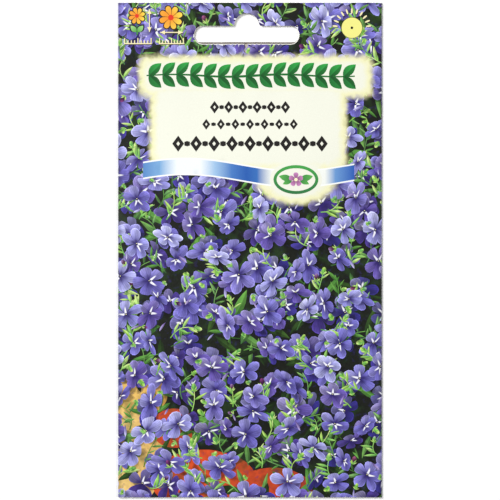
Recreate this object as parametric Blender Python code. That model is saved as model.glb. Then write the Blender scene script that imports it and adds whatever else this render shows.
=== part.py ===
# A flat seed packet lying on its back: one folded sheet of laminated paper, glued
# along a lapped back seam and across both ends, with a hang slot punched through
# the header. It holds a small film sachet with the seeds. Metres, +Z up out of the
# printed front, +Y towards the hang slot, origin under the middle of the packet.
import math
import random

import bmesh
import bpy

MM = 0.001

# Whole packet
WIDTH = 80 * MM
HEIGHT = 150 * MM
PAPER = 0.10 * MM            # laminated paper
FILM_GAP = 0.05 * MM         # clearance on each side of a glue film
GLUE = 0.05 * MM             # glue film

# Back seam: the right-hand flap lies outside, the left-hand flap laps over it inside
LAP = 12 * MM
JOG = 2 * MM                 # length over which the inner flap steps up onto the outer one
JOG_CLEAR = 0.4 * MM

# Sealed bands at the two ends, and the swelling of the front between them
HEADER = 21 * MM
FOOT = 8 * MM
SWELL = 1.85 * MM
SWELL_POWER = 2.6
SWELL_RUN = 40 * MM          # length over which the swelling grows from each end

# Hang slot, 32 mm wide as display hooks need it
SLOT_WIDTH = 32 * MM
SLOT_ARM = 4.9 * MM          # height of the two arms
SLOT_HUMP = 3.8 * MM         # radius of the round rise in the middle
SLOT_FILLET = 0.8 * MM
SLOT_CENTRE_X = -1.0 * MM    # the punch sits a little to the left
SLOT_FLOOR_Y = HEIGHT / 2 - 11.9 * MM
SLOT_SLIP = 0.55 * MM        # how much lower the front ply is cut than the back

# Sachet of seeds
SACHET_WIDTH = 46 * MM
SACHET_HEIGHT = 58 * MM
SACHET_CENTRE_Y = -26 * MM
SACHET_SEAL = 5 * MM
SACHET_SWELL = 0.75 * MM
SACHET_RUN = 8 * MM
FILM = 0.06 * MM
SEED_COUNT = 170
SEED_SIZE = 0.55 * MM
HEAP_RADIUS = 6.5 * MM
HEAP_HEIGHT = 0.16 * MM
HEAP_CENTRE = (0.0, -39 * MM)

# Heights above the table
OUTER_FLAP_TOP = PAPER
BOND = GLUE + 2 * FILM_GAP
INNER_FLAP_BOTTOM = OUTER_FLAP_TOP + BOND
INNER_FLAP_TOP = INNER_FLAP_BOTTOM + PAPER
FRONT_BOTTOM = INNER_FLAP_TOP + BOND
FRONT_TOP = FRONT_BOTTOM + PAPER
FOLD_OUTER = FRONT_TOP / 2
FOLD_X = WIDTH / 2 - FOLD_OUTER
SACHET_FLOOR = INNER_FLAP_TOP + FILM_GAP
SACHET_LID = SACHET_FLOOR + FILM + FILM_GAP


def clear_scene():
    for thing in list(bpy.data.objects):
        bpy.data.objects.remove(thing)


def make_material(name, colour, roughness, metallic=0.0):
    material = bpy.data.materials.new(name)
    material.use_nodes = True
    shader = material.node_tree.nodes["Principled BSDF"]
    shader.inputs["Base Color"].default_value = (*colour, 1.0)
    shader.inputs["Roughness"].default_value = roughness
    shader.inputs["Metallic"].default_value = metallic
    return material


def object_from(name, work, material):
    """The bmesh as an object, with its normals turned outwards."""
    bmesh.ops.recalc_face_normals(work, faces=work.faces)
    mesh = bpy.data.meshes.new(name)
    work.to_mesh(mesh)
    work.free()
    made = bpy.data.objects.new(name, mesh)
    bpy.context.scene.collection.objects.link(made)
    if material:
        made.data.materials.append(material)
    return made


def steps(start, end, count):
    """Evenly spaced values from start to end, with both ends."""
    return [start + (end - start) * i / count for i in range(count + 1)]


def smooth(value):
    """0 below 0, 1 above 1, and an S curve between."""
    value = min(max(value, 0.0), 1.0)
    return value * value * (3 - 2 * value)


def pillow(x, y, half_width, low, high, run):
    """From 0 at the rim of a pocket to 1 at its middle."""
    across = 1 - abs(x / half_width) ** SWELL_POWER
    along = smooth((y - low) / run) * smooth((high - y) / run)
    return max(across, 0.0) * along


def front_swell(x, y):
    """How far the front ply stands above its flat height."""
    low = -HEIGHT / 2 + FOOT
    high = HEIGHT / 2 - HEADER
    return SWELL * pillow(x, y, FOLD_X, low, high, SWELL_RUN)


def girth_stations(y):
    """The folded sheet at height y, as pairs of an outer and an inner point (x, z), from the
    free edge of the inner flap round the left fold, the front and the right fold to the free
    edge of the outer flap."""
    pairs = []
    jog_end = -LAP / 2 - JOG_CLEAR
    for x in steps(LAP / 2, jog_end, 3):
        pairs.append(((x, INNER_FLAP_BOTTOM), (x, INNER_FLAP_TOP)))
    for x in steps(jog_end, jog_end - JOG, 5)[1:]:
        rise = INNER_FLAP_BOTTOM * smooth((x - jog_end + JOG) / JOG)
        pairs.append(((x, rise), (x, rise + PAPER)))
    for x in steps(jog_end - JOG, -FOLD_X, 5)[1:-1]:
        pairs.append(((x, 0.0), (x, PAPER)))
    pairs += fold_stations(-1, y)
    for x in steps(-FOLD_X, FOLD_X, 26)[1:-1]:
        rise = front_swell(x, y)
        pairs.append(((x, FRONT_TOP + rise), (x, FRONT_BOTTOM + rise)))
    pairs += reversed(fold_stations(1, y))
    for x in steps(FOLD_X, -LAP / 2, 7)[1:]:
        pairs.append(((x, 0.0), (x, PAPER)))
    return pairs


def fold_stations(side, y):
    """Points round the fold at one side, from the back up to the front."""
    pairs = []
    for angle in steps(-math.pi / 2, math.pi / 2, 8):
        reach = math.cos(angle)
        lift = math.sin(angle)
        pairs.append(
            tuple(
                (side * (FOLD_X + radius * reach), FOLD_OUTER + radius * lift)
                for radius in (FOLD_OUTER, FOLD_OUTER - PAPER)
            )
        )
    return pairs


def sheet_between(work, rows):
    """A closed slab from rows of (outer point, inner point) pairs."""
    outer = [[work.verts.new(pair[0]) for pair in row] for row in rows]
    inner = [[work.verts.new(pair[1]) for pair in row] for row in rows]
    last_row = len(rows) - 1
    last_column = len(rows[0]) - 1
    for i in range(last_row):
        for j in range(last_column):
            for side in (outer, inner):
                work.faces.new((side[i][j], side[i][j + 1], side[i + 1][j + 1], side[i + 1][j]))
        for j in (0, last_column):
            work.faces.new((outer[i][j], outer[i + 1][j], inner[i + 1][j], inner[i][j]))
    for j in range(last_column):
        for i in (0, last_row):
            work.faces.new((outer[i][j], outer[i][j + 1], inner[i][j + 1], inner[i][j]))


def slot_outline(drop):
    """The hang slot's outline, counter-clockwise from the left end of its floor. Its floor is
    lower by drop, which is what the front ply slipped by when the packet was punched."""
    end = SLOT_ARM / 2
    left = SLOT_CENTRE_X - SLOT_WIDTH / 2 + end
    right = SLOT_CENTRE_X + SLOT_WIDTH / 2 - end
    floor = SLOT_FLOOR_Y - drop
    roof = SLOT_FLOOR_Y + SLOT_ARM
    round_end = (roof - floor) / 2
    middle = (roof + floor) / 2
    points = []
    for angle in steps(-math.pi / 2, math.pi / 2, 8):
        points.append((right + end * math.cos(angle), middle + round_end * math.sin(angle)))
    foot = math.sqrt((SLOT_HUMP + SLOT_FILLET) ** 2 - SLOT_FILLET ** 2)
    meet = math.atan2(SLOT_FILLET, foot)
    fillet_y = roof + SLOT_FILLET
    for angle in steps(-math.pi / 2, -math.pi + meet, 3):
        points.append(
            (SLOT_CENTRE_X + foot + SLOT_FILLET * math.cos(angle), fillet_y + SLOT_FILLET * math.sin(angle))
        )
    for angle in steps(meet, math.pi - meet, 12)[1:-1]:
        points.append((SLOT_CENTRE_X + SLOT_HUMP * math.cos(angle), roof + SLOT_HUMP * math.sin(angle)))
    for angle in steps(-meet, -math.pi / 2, 3):
        points.append(
            (SLOT_CENTRE_X - foot + SLOT_FILLET * math.cos(angle), fillet_y + SLOT_FILLET * math.sin(angle))
        )
    for angle in steps(math.pi / 2, 3 * math.pi / 2, 8):
        points.append((left + end * math.cos(angle), middle + round_end * math.sin(angle)))
    return points


def slot_cutter(name, drop, low, high):
    """A punch for the slot from one height to another, which cuts and isn't part of the packet."""
    work = bmesh.new()
    floor = work.faces.new([work.verts.new((x, y, low)) for x, y in slot_outline(drop)])
    risen = bmesh.ops.extrude_face_region(work, geom=[floor])["geom"]
    corners = [item for item in risen if isinstance(item, bmesh.types.BMVert)]
    bmesh.ops.translate(work, verts=corners, vec=(0, 0, high - low))
    punch = object_from(name, work, None)
    punch.hide_render = True
    punch.display_type = "WIRE"
    return punch


def cut(target, punch):
    modifier = target.modifiers.new("cut_" + punch.name, "BOOLEAN")
    modifier.operation = "DIFFERENCE"
    modifier.object = punch


def make_envelope(paper, punches):
    """The folded sheet, one body from the inner flap round to the outer flap."""
    foot_top = -HEIGHT / 2 + FOOT
    header_foot = HEIGHT / 2 - HEADER
    heights = [-HEIGHT / 2] + steps(foot_top, header_foot, 24) + [HEIGHT / 2]
    rows = []
    for y in heights:
        rows.append([((a[0], y, a[1]), (b[0], y, b[1])) for a, b in girth_stations(y)])
    work = bmesh.new()
    sheet_between(work, rows)
    envelope = object_from("envelope", work, paper)
    for polygon in envelope.data.polygons:
        polygon.use_smooth = True
    envelope.data.set_sharp_from_angle(angle=math.radians(40))
    for punch in punches:
        cut(envelope, punch)
    return envelope


def make_film(name, corner, opposite, material):
    """A thin rectangular film between two corners."""
    work = bmesh.new()
    bmesh.ops.create_cube(work, size=1.0)
    size = [b - a for a, b in zip(corner, opposite)]
    middle = [(a + b) / 2 for a, b in zip(corner, opposite)]
    bmesh.ops.scale(work, verts=work.verts, vec=size)
    bmesh.ops.translate(work, verts=work.verts, vec=middle)
    return object_from(name, work, material)


def make_glue(glue, punch):
    """The glue in the back seam and across the two ends."""
    edge = 1.5 * MM
    seam_z = OUTER_FLAP_TOP + FILM_GAP
    seam_half = LAP / 2 - edge
    seam = make_film(
        "seam_glue",
        (-seam_half, -HEIGHT / 2 + edge, seam_z),
        (seam_half, SLOT_FLOOR_Y - edge, seam_z + GLUE),
        glue,
    )
    end_z = INNER_FLAP_TOP + FILM_GAP
    half = FOLD_X - edge
    foot = make_film(
        "foot_glue",
        (-half, -HEIGHT / 2 + edge, end_z),
        (half, -HEIGHT / 2 + FOOT - edge, end_z + GLUE),
        glue,
    )
    header = make_film(
        "header_glue",
        (-half, HEIGHT / 2 - HEADER + edge, end_z),
        (half, HEIGHT / 2 - edge, end_z + GLUE),
        glue,
    )
    cut(header, punch)
    return seam, foot, header


def sachet_swell(x, y):
    """How far the sachet's lid stands above its sealed rim."""
    low = SACHET_CENTRE_Y - SACHET_HEIGHT / 2 + SACHET_SEAL
    high = SACHET_CENTRE_Y + SACHET_HEIGHT / 2 - SACHET_SEAL
    half = SACHET_WIDTH / 2 - SACHET_SEAL
    if abs(x) >= half:
        return 0.0
    return SACHET_SWELL * pillow(x, y, half, low, high, SACHET_RUN)


def make_sachet(film):
    """The two webs of the sachet: a flat floor and a lid that stands up over the seeds."""
    half = SACHET_WIDTH / 2
    low = SACHET_CENTRE_Y - SACHET_HEIGHT / 2
    high = SACHET_CENTRE_Y + SACHET_HEIGHT / 2
    floor = make_film("sachet_floor", (-half, low, SACHET_FLOOR), (half, high, SACHET_FLOOR + FILM), film)
    columns = [-half] + steps(-half + SACHET_SEAL, half - SACHET_SEAL, 12) + [half]
    heights = [low] + steps(low + SACHET_SEAL, high - SACHET_SEAL, 14) + [high]
    rows = []
    for y in heights:
        row = []
        for x in columns:
            z = SACHET_LID + sachet_swell(x, y)
            row.append(((x, y, z + FILM), (x, y, z)))
        rows.append(row)
    work = bmesh.new()
    sheet_between(work, rows)
    lid = object_from("sachet_lid", work, film)
    return floor, lid


def make_seeds(skin):
    """The dust-fine seeds, larger than life, fused into one thin heap at the sachet's foot."""
    draw = random.Random(7)
    grains = bpy.data.collections.new("grains")
    bpy.context.scene.collection.children.link(grains)
    grains.hide_render = True
    heap_floor = SACHET_FLOOR + FILM + FILM_GAP
    for i in range(SEED_COUNT):
        spread = HEAP_RADIUS * 0.94 * math.sqrt((i + 0.5) / SEED_COUNT)
        turn = i * math.pi * (3 - math.sqrt(5)) + draw.uniform(-0.2, 0.2)
        work = bmesh.new()
        bmesh.ops.create_icosphere(work, subdivisions=1, radius=SEED_SIZE / 2)
        bmesh.ops.scale(work, verts=work.verts, vec=(1.0, 0.75, 0.55))
        spin = draw.uniform(0, math.tau)
        place = (
            HEAP_CENTRE[0] + 1.6 * spread * math.cos(turn),
            HEAP_CENTRE[1] + 0.75 * spread * math.sin(turn),
            heap_floor + HEAP_HEIGHT,
        )
        for vertex in work.verts:
            x, y, z = vertex.co
            vertex.co = (
                place[0] + x * math.cos(spin) - y * math.sin(spin),
                place[1] + x * math.sin(spin) + y * math.cos(spin),
                place[2] + z,
            )
        grain = object_from(f"grain_{i:03d}", work, None)
        bpy.context.scene.collection.objects.unlink(grain)
        grains.objects.link(grain)
    work = bmesh.new()
    bmesh.ops.create_cone(
        work, cap_ends=True, segments=40, radius1=HEAP_RADIUS, radius2=HEAP_RADIUS * 0.96, depth=HEAP_HEIGHT
    )
    bmesh.ops.scale(work, verts=work.verts, vec=(1.6, 0.75, 1.0))
    bmesh.ops.translate(work, verts=work.verts, vec=(*HEAP_CENTRE, heap_floor + HEAP_HEIGHT / 2))
    seeds = object_from("seeds", work, skin)
    fuse = seeds.modifiers.new("fuse", "BOOLEAN")
    fuse.operation = "UNION"
    fuse.operand_type = "COLLECTION"
    fuse.collection = grains
    graph = bpy.context.evaluated_depsgraph_get()
    fused = bpy.data.meshes.new_from_object(seeds.evaluated_get(graph))
    seeds.modifiers.clear()
    seeds.data = fused
    for grain in list(grains.objects):
        bpy.data.objects.remove(grain)
    bpy.data.collections.remove(grains)
    return seeds


def main():
    clear_scene()
    paper = make_material("printed_paper", (0.23, 0.22, 0.60), 0.35)
    glue = make_material("clear_glue", (0.80, 0.78, 0.70), 0.45)
    film = make_material("sachet_film", (0.75, 0.76, 0.78), 0.30, 0.6)
    skin = make_material("seed_coat", (0.16, 0.08, 0.04), 0.55)
    margin = 1 * MM
    back_punch = slot_cutter("back_punch", 0.0, -margin, FRONT_BOTTOM - FILM_GAP)
    front_punch = slot_cutter("front_punch", SLOT_SLIP, INNER_FLAP_TOP + FILM_GAP / 2, FRONT_TOP + margin)
    make_envelope(paper, (back_punch, front_punch))
    glue_punch = slot_cutter("glue_punch", SLOT_SLIP, -margin, FRONT_TOP + margin)
    make_glue(glue, glue_punch)
    make_sachet(film)
    make_seeds(skin)


main()
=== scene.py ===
import cmath
import math
import random
from functools import partial

import bmesh
import bpy
import numpy as np
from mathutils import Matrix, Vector
from mathutils.bvhtree import BVHTree
from mathutils.geometry import delaunay_2d_cdt


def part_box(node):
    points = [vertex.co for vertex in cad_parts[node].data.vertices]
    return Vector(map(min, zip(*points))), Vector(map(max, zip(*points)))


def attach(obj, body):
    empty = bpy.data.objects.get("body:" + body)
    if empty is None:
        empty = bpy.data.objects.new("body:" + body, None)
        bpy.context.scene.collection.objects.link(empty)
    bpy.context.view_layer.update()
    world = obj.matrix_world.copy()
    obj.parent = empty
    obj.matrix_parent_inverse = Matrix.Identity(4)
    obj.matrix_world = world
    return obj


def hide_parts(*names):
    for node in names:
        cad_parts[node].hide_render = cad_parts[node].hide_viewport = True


# A printed paper seed packet on its back, seen from straight above. It is made the way a
# packet maker works: the artwork is laid out flat on the unfolded blank, in millimetres,
# then the blank is folded round into the envelope. Flat points are complex numbers.

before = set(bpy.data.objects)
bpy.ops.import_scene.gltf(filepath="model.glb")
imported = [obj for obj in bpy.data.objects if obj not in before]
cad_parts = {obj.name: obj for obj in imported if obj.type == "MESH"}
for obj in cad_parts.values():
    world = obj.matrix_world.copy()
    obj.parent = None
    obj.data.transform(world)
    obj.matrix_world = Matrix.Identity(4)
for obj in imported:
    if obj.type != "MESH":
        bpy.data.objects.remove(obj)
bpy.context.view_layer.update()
mm = 0.001
print("frame loaded:", ", ".join(sorted(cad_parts)))

envelopeLow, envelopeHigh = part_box("envelope")

# the folded sheet, in millimetres; its outer size is read from the frame
sheet = {
    "width": (envelopeHigh.x - envelopeLow.x) / mm,
    "height": (envelopeHigh.y - envelopeLow.y) / mm,
    "paper": 0.10,  # laminated paper
    "bond": 0.15,  # glue line between two plies
    "lap": 12.0,  # overlap of the back seam
    "jog": 2.0,  # where the inner flap steps up onto the outer one
    "jogClear": 0.4,
    "header": 21.0,  # sealed band with the hang slot
    "foot": 8.0,  # sealed band at the bottom
    "swell": 1.85,  # height of the filled pocket
    "swellPower": 2.6,  # how flat it is across
    "swellRun": 40.0,  # how far from a seal it is full
    "pucker": 0.07,  # small waves of the paper beside the seals
    "puckerRun": 5.0,
    "puckerFade": 9.0,
    "puckerRate": (0.52, 0.8, 0.23),  # radians per millimetre, and how far and how fast they stray
    "creep": [(0.21, 0.13), (-0.05, 0.11)],  # two slow waves: radians per millimetre across and along
    "settle": 0.6,
    "gridStep": 2.0,  # spacing of the points that carry the swelling
    "innerStep": 5.0,
    "straight": 0.015,  # a printed edge may stray this much when its points are thinned
    "weld": 1e-5,  # points nearer than this are one
    "sharp": 40,  # degrees
}
slot = {
    "width": 32.0, "arm": 4.9, "hump": 3.8, "fillet": 0.8, "x": -1.0, "drop": 11.9,
    "floorPoints": 56, "floorWaves": (2.9, 0.83),
    "slip": 0.55,  # how much lower the front ply is cut than the back
    "burr": 0.06,  # the punched floor edge isn't quite straight
    "torn": 0.24,  # film torn off the paper below it
    "tornSwing": 0.18,
    "paper": "#EAE7E1",
    "dust": "#54473F",  # painted shade on the back ply's step, in the recess between the plies
    # where the painted shade sets in beside the front's floor, and where it ends beside the back's
    "dustFades": ((-0.3, -0.2), (-0.12, 0.02)),
    "split": (-1.3, 2.8),  # a short split below the middle: place and length
    "splitPath": (0.28, 7.0), "splitSwing": (1.3, 9.0),  # how crooked it is, and how uneven in width
    "splitInks": [(-0.24, 0.40, "#3A2F38"), (0.0, 0.42, "#B4ABA3")],  # its shadow and itself: shift, width
}

halfHeight = sheet["height"] / 2
frontTop = 3 * sheet["paper"] + 2 * sheet["bond"]
foldOuter = frontTop / 2
foldX = sheet["width"] / 2 - foldOuter
foldArc = math.pi * foldOuter
backStart = foldX + foldArc  # where the back begins on the blank
backMiddle = backStart + foldX  # where the packet's middle line lies on each back panel
blankHalf = backMiddle + sheet["lap"] / 2  # half of the unfolded width
printEdge = foldX + foldArc * 0.75  # the front's picture runs well round the fold


def linear(colour):
    # an sRGB hex value as linear light; a colour that is linear already stays as it is
    if not isinstance(colour, str):
        return colour
    values = [int(colour[i:i + 2], 16) / 255 for i in (1, 3, 5)]
    return tuple(v / 12.92 if v <= 0.04045 else ((v + 0.055) / 1.055) ** 2.4 for v in values)


def mixed(first, second, share):
    return tuple(a + (b - a) * share for a, b in zip(linear(first), linear(second)))


def steps(start, end, count):
    return [start + (end - start) * i / count for i in range(count + 1)]


def around(count):
    return steps(0, 2 * math.pi, count)[:-1]


def pairs(points):
    return [(p.real, p.imag) for p in points]


def smooth(value):
    value = np.clip(value, 0.0, 1.0)
    return value * value * (3 - 2 * value)


def cross(first, second):
    return (np.conj(first) * second).imag


# Outlines are (along, across) pairs, along from 0 to 1. A place puts one on the blank:
# its origin and the two complex numbers that along and across become.
def placed(origin, heading=1, slim=1.0):
    return origin, heading, 1j * heading * slim


def boxOutline(x0, y0, x1, y1):
    return [(x0, y0), (x1, y0), (x1, y1), (x0, y1)]


def discOutline(count):
    return [(math.cos(a), math.sin(a)) for a in around(count)]


def petalOutline(count, tip=0.0):
    # narrow at the throat, broadest past the middle; tip above zero points it, below notches it
    outline = []
    for angle in around(count):
        along = petal["centre"] - petal["reach"] * math.cos(angle)
        across = math.sin(angle) * (petal["throat"] + petal["flare"] * along)
        blade = max(0.0, -math.cos(angle)) ** 6
        outline.append((along + tip * blade, across * (1 - abs(tip) * blade)))
    return outline


def leafOutline(count, fullness=0.9):
    side = [(u, math.sin(math.pi * u ** fullness) ** 0.9) for u in steps(0, 1, count)]
    return side + [(u, -v) for u, v in reversed(side[1:-1])]


def barOutline(length, thick, taper=1.0):
    half, tall = length / 2, thick / 2
    side = [(-half, -tall * taper), (0, -tall), (half, -tall * taper)]
    return side + [(u, -v) for u, v in reversed(side)]


def stripOutline(path, widths):
    # a band of changing width along a path of complex points
    left, right = [], []
    for i, point in enumerate(path):
        run = path[min(i + 1, len(path) - 1)] - path[max(i - 1, 0)]
        side = 1j * run / abs(run) * widths[i] / 2
        left.append(point + side)
        right.append(point - side)
    return pairs(right + left[::-1])


petal = {"centre": 0.52, "reach": 0.48, "throat": 0.30, "flare": 0.86}
flat = placed(0)  # the blank's own millimetres
discShape, petalShape = discOutline(14), petalOutline(14)
petalShapes = [petalShape, petalOutline(14, 0.10), petalOutline(14, -0.09)]
dotShape, leafShape, bladeShape = discOutline(8), leafOutline(7), leafOutline(5, 0.8)

# what the printing inks do in the shader; those above zero lie under the cream panel
inkKinds = {"plain": 0, "petal": 1, "leaf": 2, "ground": 3, "under": 4, "streaked": 5, "shadow": 6,
            "topLeaf": -2}
shapes = []  # everything on the blank, bottom layer first
smallest = 0.002  # square millimetres of ink worth printing

cream = "#EAEBDC"
panel = {
    "boxes": [(-33.0, 47.0, 36.4, 58.2), (-29.6, 24.6, 28.6, 50.0)],
    "glow": (14.0 + 21.4j, 10.8, 6.8),  # an oval behind the roundel: middle, half width, half height
    "corner": 5.0,  # how far its corners are rounded
    "blend": 2.0,  # how softly the glow joins the boxes
    "core": 3.3,  # what lies wholly deeper in it than this isn't drawn
    "clear": 4.0,  # no plant starts deeper in it than this
    # its yellowish rim, then its cream: the depths between which each sets in
    "fades": [("#EDEAB0", -1.89, 0.5), (cream, -0.84, 2.4)],
}


def panelDepth(x, y):
    # how far inside the cream panel a point lies
    centre, wide, tall = panel["glow"]
    oval = tall * (1 - math.hypot((x - centre.real) / wide, (y - centre.imag) / tall))
    return max([oval] + [min(x - x0, x1 - x, y - y0, y1 - y) for x0, y0, x1, y1 in panel["boxes"]])


def addShape(outline, place, base, tip=None, ink="plain", bend=0.0, side="front", dark=1.0):
    origin, along, across = place
    points = [origin + along * u + across * (v + bend * u * (1 - u)) for u, v in outline]
    if side == "front" and inkKinds[ink] > 0:
        if all(panelDepth(p.real, p.imag) > panel["core"] for p in points):
            return
    turned = sum(cross(a, b) for a, b in zip(points, points[1:] + points[:1])) / 2
    if abs(turned) < smallest:
        return
    shapes.append({
        "points": points if turned > 0 else points[::-1], "place": place, "bend": bend, "ink": ink,
        "base": linear(base), "tip": linear(tip or base), "side": side, "dark": dark,
    })


def addBoth(outline, place, base, tip=None, ink="plain", bend=0.0):
    # a motif of the back, seen from behind with x to the right, goes on both back panels
    origin, along, across = place
    for middle in (backMiddle, -backMiddle):
        reach = [(origin + along * u + across * v).real + middle for u, v in outline]
        if max(reach) > -blankHalf and min(reach) < blankHalf:
            addShape(outline, (origin + middle, along, across), base, tip, ink, bend, "back")


def scatter(rng, count, box, free, tries):
    # points that keep apart as plants do, where there is room
    found = []
    while len(found) < count:
        best, gap = None, -1.0
        for attempt in range(tries):
            point = complex(rng.uniform(box[0], box[2]), rng.uniform(box[1], box[3]))
            if not free(point):
                continue
            near = min((abs(point - other) for other in found), default=99.0)
            if near > gap:
                best, gap = point, near
        if best is not None:
            found.append(best)
    return found


# Plants of the front picture: five-petalled blossoms, buds and narrow leaves.
petalInks = {
    "back": [("#19154C", "#373088"), ("#221B5A", "#453A9C"), ("#2A1E5A", "#4B3A8E")],
    "mid": [("#40368E", "#7A74C6"), ("#453C96", "#8480D2"), ("#48368A", "#7060B2")],
    "front": [("#6059B0", "#B0B1EA"), ("#5A54A8", "#9E9EE0"), ("#665FB6", "#BEC0F0"),
              ("#544AA0", "#938CD6")],
}
leafInks = {
    "deep": [("#122409", "#30521C"), ("#172C12", "#3C5F22"), ("#0B160A", "#1E3612")],
    "mid": [("#356A28", "#6AA648"), ("#2F5A2E", "#76AC54"), ("#3C7040", "#8FC06C")],
    "lime": [("#62A83E", "#C6E278"), ("#70B24E", "#DCEC98"), ("#529A46", "#A2D470")],
    "plum": [("#3C1440", "#8C3C80"), ("#4A1B3A", "#A85A86")],
    "spur": [("#C9C4EC", "#4C3F98"), ("#B4A6D8", "#5A3C8C")],
    "cup": [("#7FB43C", "#D3E27E")],
}
anyTurn, upward = (0, 2 * math.pi), (0.2, 2.9)
picture = {
    "seed": 14,
    "light": 2.2,  # where the picture's own sun stands, as an angle
    "margin": 3.0,
    "ground": "#12150E",
    # warm, blurred things far behind the plants, low on the left and in the middle
    "warm": [(-38, -62, 12, 17, "#E8C478", "#D0A458"), (-33, -44, 8, 6, "#DDB462", "#B98A3C"),
             (-14, -70, 16, 9.5, "#CE4C22", "#B5401C"), (-23, -54, 7, 6, "#C2481F", "#9C3A1A"),
             (7, -73, 12, 7, "#B8421E", "#963618")],
    "blossomRadius": (4.4, 6.0),
    "shade": (0.42, 300),  # the share of darker blossoms, and over how many millimetres it grows by one
    # Its layers of plants, bottom first. More tries keep the plants of a layer better apart.
    "tries": 6,
    "layers": [
        {"draw": "leaf", "count": 340, "tries": 3, "reach": (5, 10), "turn": anyTurn, "slim": (0.07, 0.15),
         "inks": leafInks["deep"] + leafInks["mid"][:2]},
        {"draw": "blossom", "count": 118, "tries": 14, "inks": petalInks["back"], "dark": 0.7},
        {"draw": "sprig", "count": 110, "reach": (6, 11), "turn": upward, "budded": 0.4,
         "inks": leafInks["mid"]},
        {"draw": "blossom", "count": 118, "tries": 14, "inks": petalInks["mid"], "dark": 0.6},
        {"draw": "sprig", "count": 88, "reach": (4, 8), "turn": upward, "budded": 1,
         "inks": leafInks["lime"]},
        {"draw": "blossom", "count": 96, "tries": 14, "inks": petalInks["front"], "dark": 0.55,
         "shaded": petalInks["mid"]},
        {"draw": "bud", "count": 124, "size": (1.2, 2.0)},
        # the slim backs of blossoms that face away
        {"draw": "leaf", "count": 70, "reach": (2.2, 3.8), "turn": (0.3, 2.8), "slim": (0.09, 0.13),
         "inks": leafInks["spur"]},
        # a few more sprigs round the slot
        {"draw": "sprig", "count": 20, "reach": (4, 7), "turn": (0.9, 2.2), "budded": 0.6,
         "inks": leafInks["mid"] + leafInks["lime"], "header": True},
    ],
}


# Turns are in radians. Petals are shares of a blossom's radius and a bud's parts shares of its size;
# a blossom's eye and the fall of its shadow, and a sprig's stem and leaves, are in millimetres.
blossom = {
    "petals": 5,
    "squeeze": (0.50, 0.97),  # how much of its depth is seen
    "shadow": (0.74, 0.28), "shadowFall": 0.40 - 0.60j,
    "halo": [(1.10, 0.5), (0.98, 0.6)],  # the shadow's two sizes, and what each takes of the light
    "width": (0.34, 0.46), "length": (0.94, 1.05), "stray": 0.12, "bend": 0.5,
    "uneven": 0.22, "short": 1.3,  # how unlike its petals are at most, and where the short ones stand
    "lit": 0.16, "litStray": 0.08, "throatTone": 0.15,
    "streaked": (2, 2, 3),  # how many petals may be marked
    "eye": 0.38, "marks": [(0, 1.0, "#1B1240"), (0.1j, 0.45, "#E9E4B0")],
}
sprig = {
    "stem": 0.34, "taper": 0.4, "parts": 5, "curve": 0.55, "leafTurn": (0.5, 1.1), "leaf": (2.6, 4.6),
    "slim": (0.08, 0.14), "bud": (1.5, 2.2),
}
bud = {
    "plumShare": 0.18, "tintShare": 0.35, "tint": ("#9A8CCB", 0.6),
    "cup": (0.1, 1.25, 0.30),  # its start, in millimetres, its length and its slimness
    "body": (0.75, 0.55, 0.36),  # its middle, half its length and half its width
    "spikes": (-1.0, -0.45, 0.5, 1.05), "spikeTurn": (0.7, 1.2), "spikeLength": (0.65, 0.95),
    "spikeSlim": 0.12, "spikeBend": 0.2,
}
crooked = 1.6  # how far a leaf bends at most


def pick(rng, choices):
    first, second = rng.choice(choices)
    return linear(first), linear(second)


def sunward(across):
    # the side of a petal or leaf that is in light is turned to the picture's sun
    lit = (across.conjugate() * cmath.rect(1, picture["light"])).real >= 0
    return across if lit else -across


def addBlossom(rng, centre, radius, inks, side="front", dark=0.45):
    place = addBoth if side == "back" else addShape
    turn, axis = rng.uniform(0, 2 * math.pi), rng.uniform(0, math.pi)
    squeeze = rng.uniform(*blossom["squeeze"])
    petals = blossom["petals"]

    def seen(point):
        # a blossom that leans away is seen foreshortened across its axis
        leaning = point * cmath.rect(1, -axis)
        return complex(leaning.real, leaning.imag * squeeze) * cmath.rect(1, axis)

    mean, swing = blossom["shadow"]
    for grow, share in blossom["halo"] if side == "front" else ():
        reaches = [(radius * grow * (mean + swing * math.cos(petals * (a - turn))), a) for a in around(20)]
        halo = pairs(seen(cmath.rect(reach, angle)) for reach, angle in reaches)
        addShape(halo, placed(centre + blossom["shadowFall"]), "#000000", ink="shadow", dark=dark * share)
    base, tip = pick(rng, inks)
    first, streaked = rng.randrange(petals), rng.choice(blossom["streaked"])
    uneven = rng.uniform(0.0, blossom["uneven"])
    for k in range(petals):
        # every second petal in turn, so that they overlap at random; neighbours are marked
        spoke = (first + 2 * k) % petals
        angle = turn + spoke * 2 * math.pi / petals + rng.uniform(-blossom["stray"], blossom["stray"])
        short = uneven * (1 + math.cos(angle - turn - blossom["short"]))
        along = seen(cmath.rect(radius * (rng.uniform(*blossom["length"]) * (1 - short)), angle))
        width = radius * rng.uniform(*blossom["width"])
        across = sunward(seen(cmath.rect(width, angle + math.pi / 2)))
        lit = blossom["lit"] * math.cos(angle - picture["light"])
        lit += rng.uniform(-blossom["litStray"], blossom["litStray"])
        tone = mixed(tip, (1, 1, 1) if lit > 0 else base, abs(lit))
        place(rng.choice(petalShapes), (centre, along, across), mixed(base, tone, blossom["throatTone"]),
              tone, "streaked" if spoke < streaked else "petal",
              rng.uniform(-blossom["bend"], blossom["bend"]))
    for shift, grow, ink in blossom["marks"]:
        eye = blossom["eye"] * grow
        place(dotShape, (centre + shift, seen(complex(eye)), seen(1j * eye)), ink, ink="under")


def addLeaf(rng, root, reach, inks, slim, bend=None):
    bend = rng.uniform(-crooked, crooked) if bend is None else bend
    base, tip = pick(rng, inks)
    addShape(bladeShape, (root, reach, sunward(1j * reach * slim)), base, tip, "leaf", bend)


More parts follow.
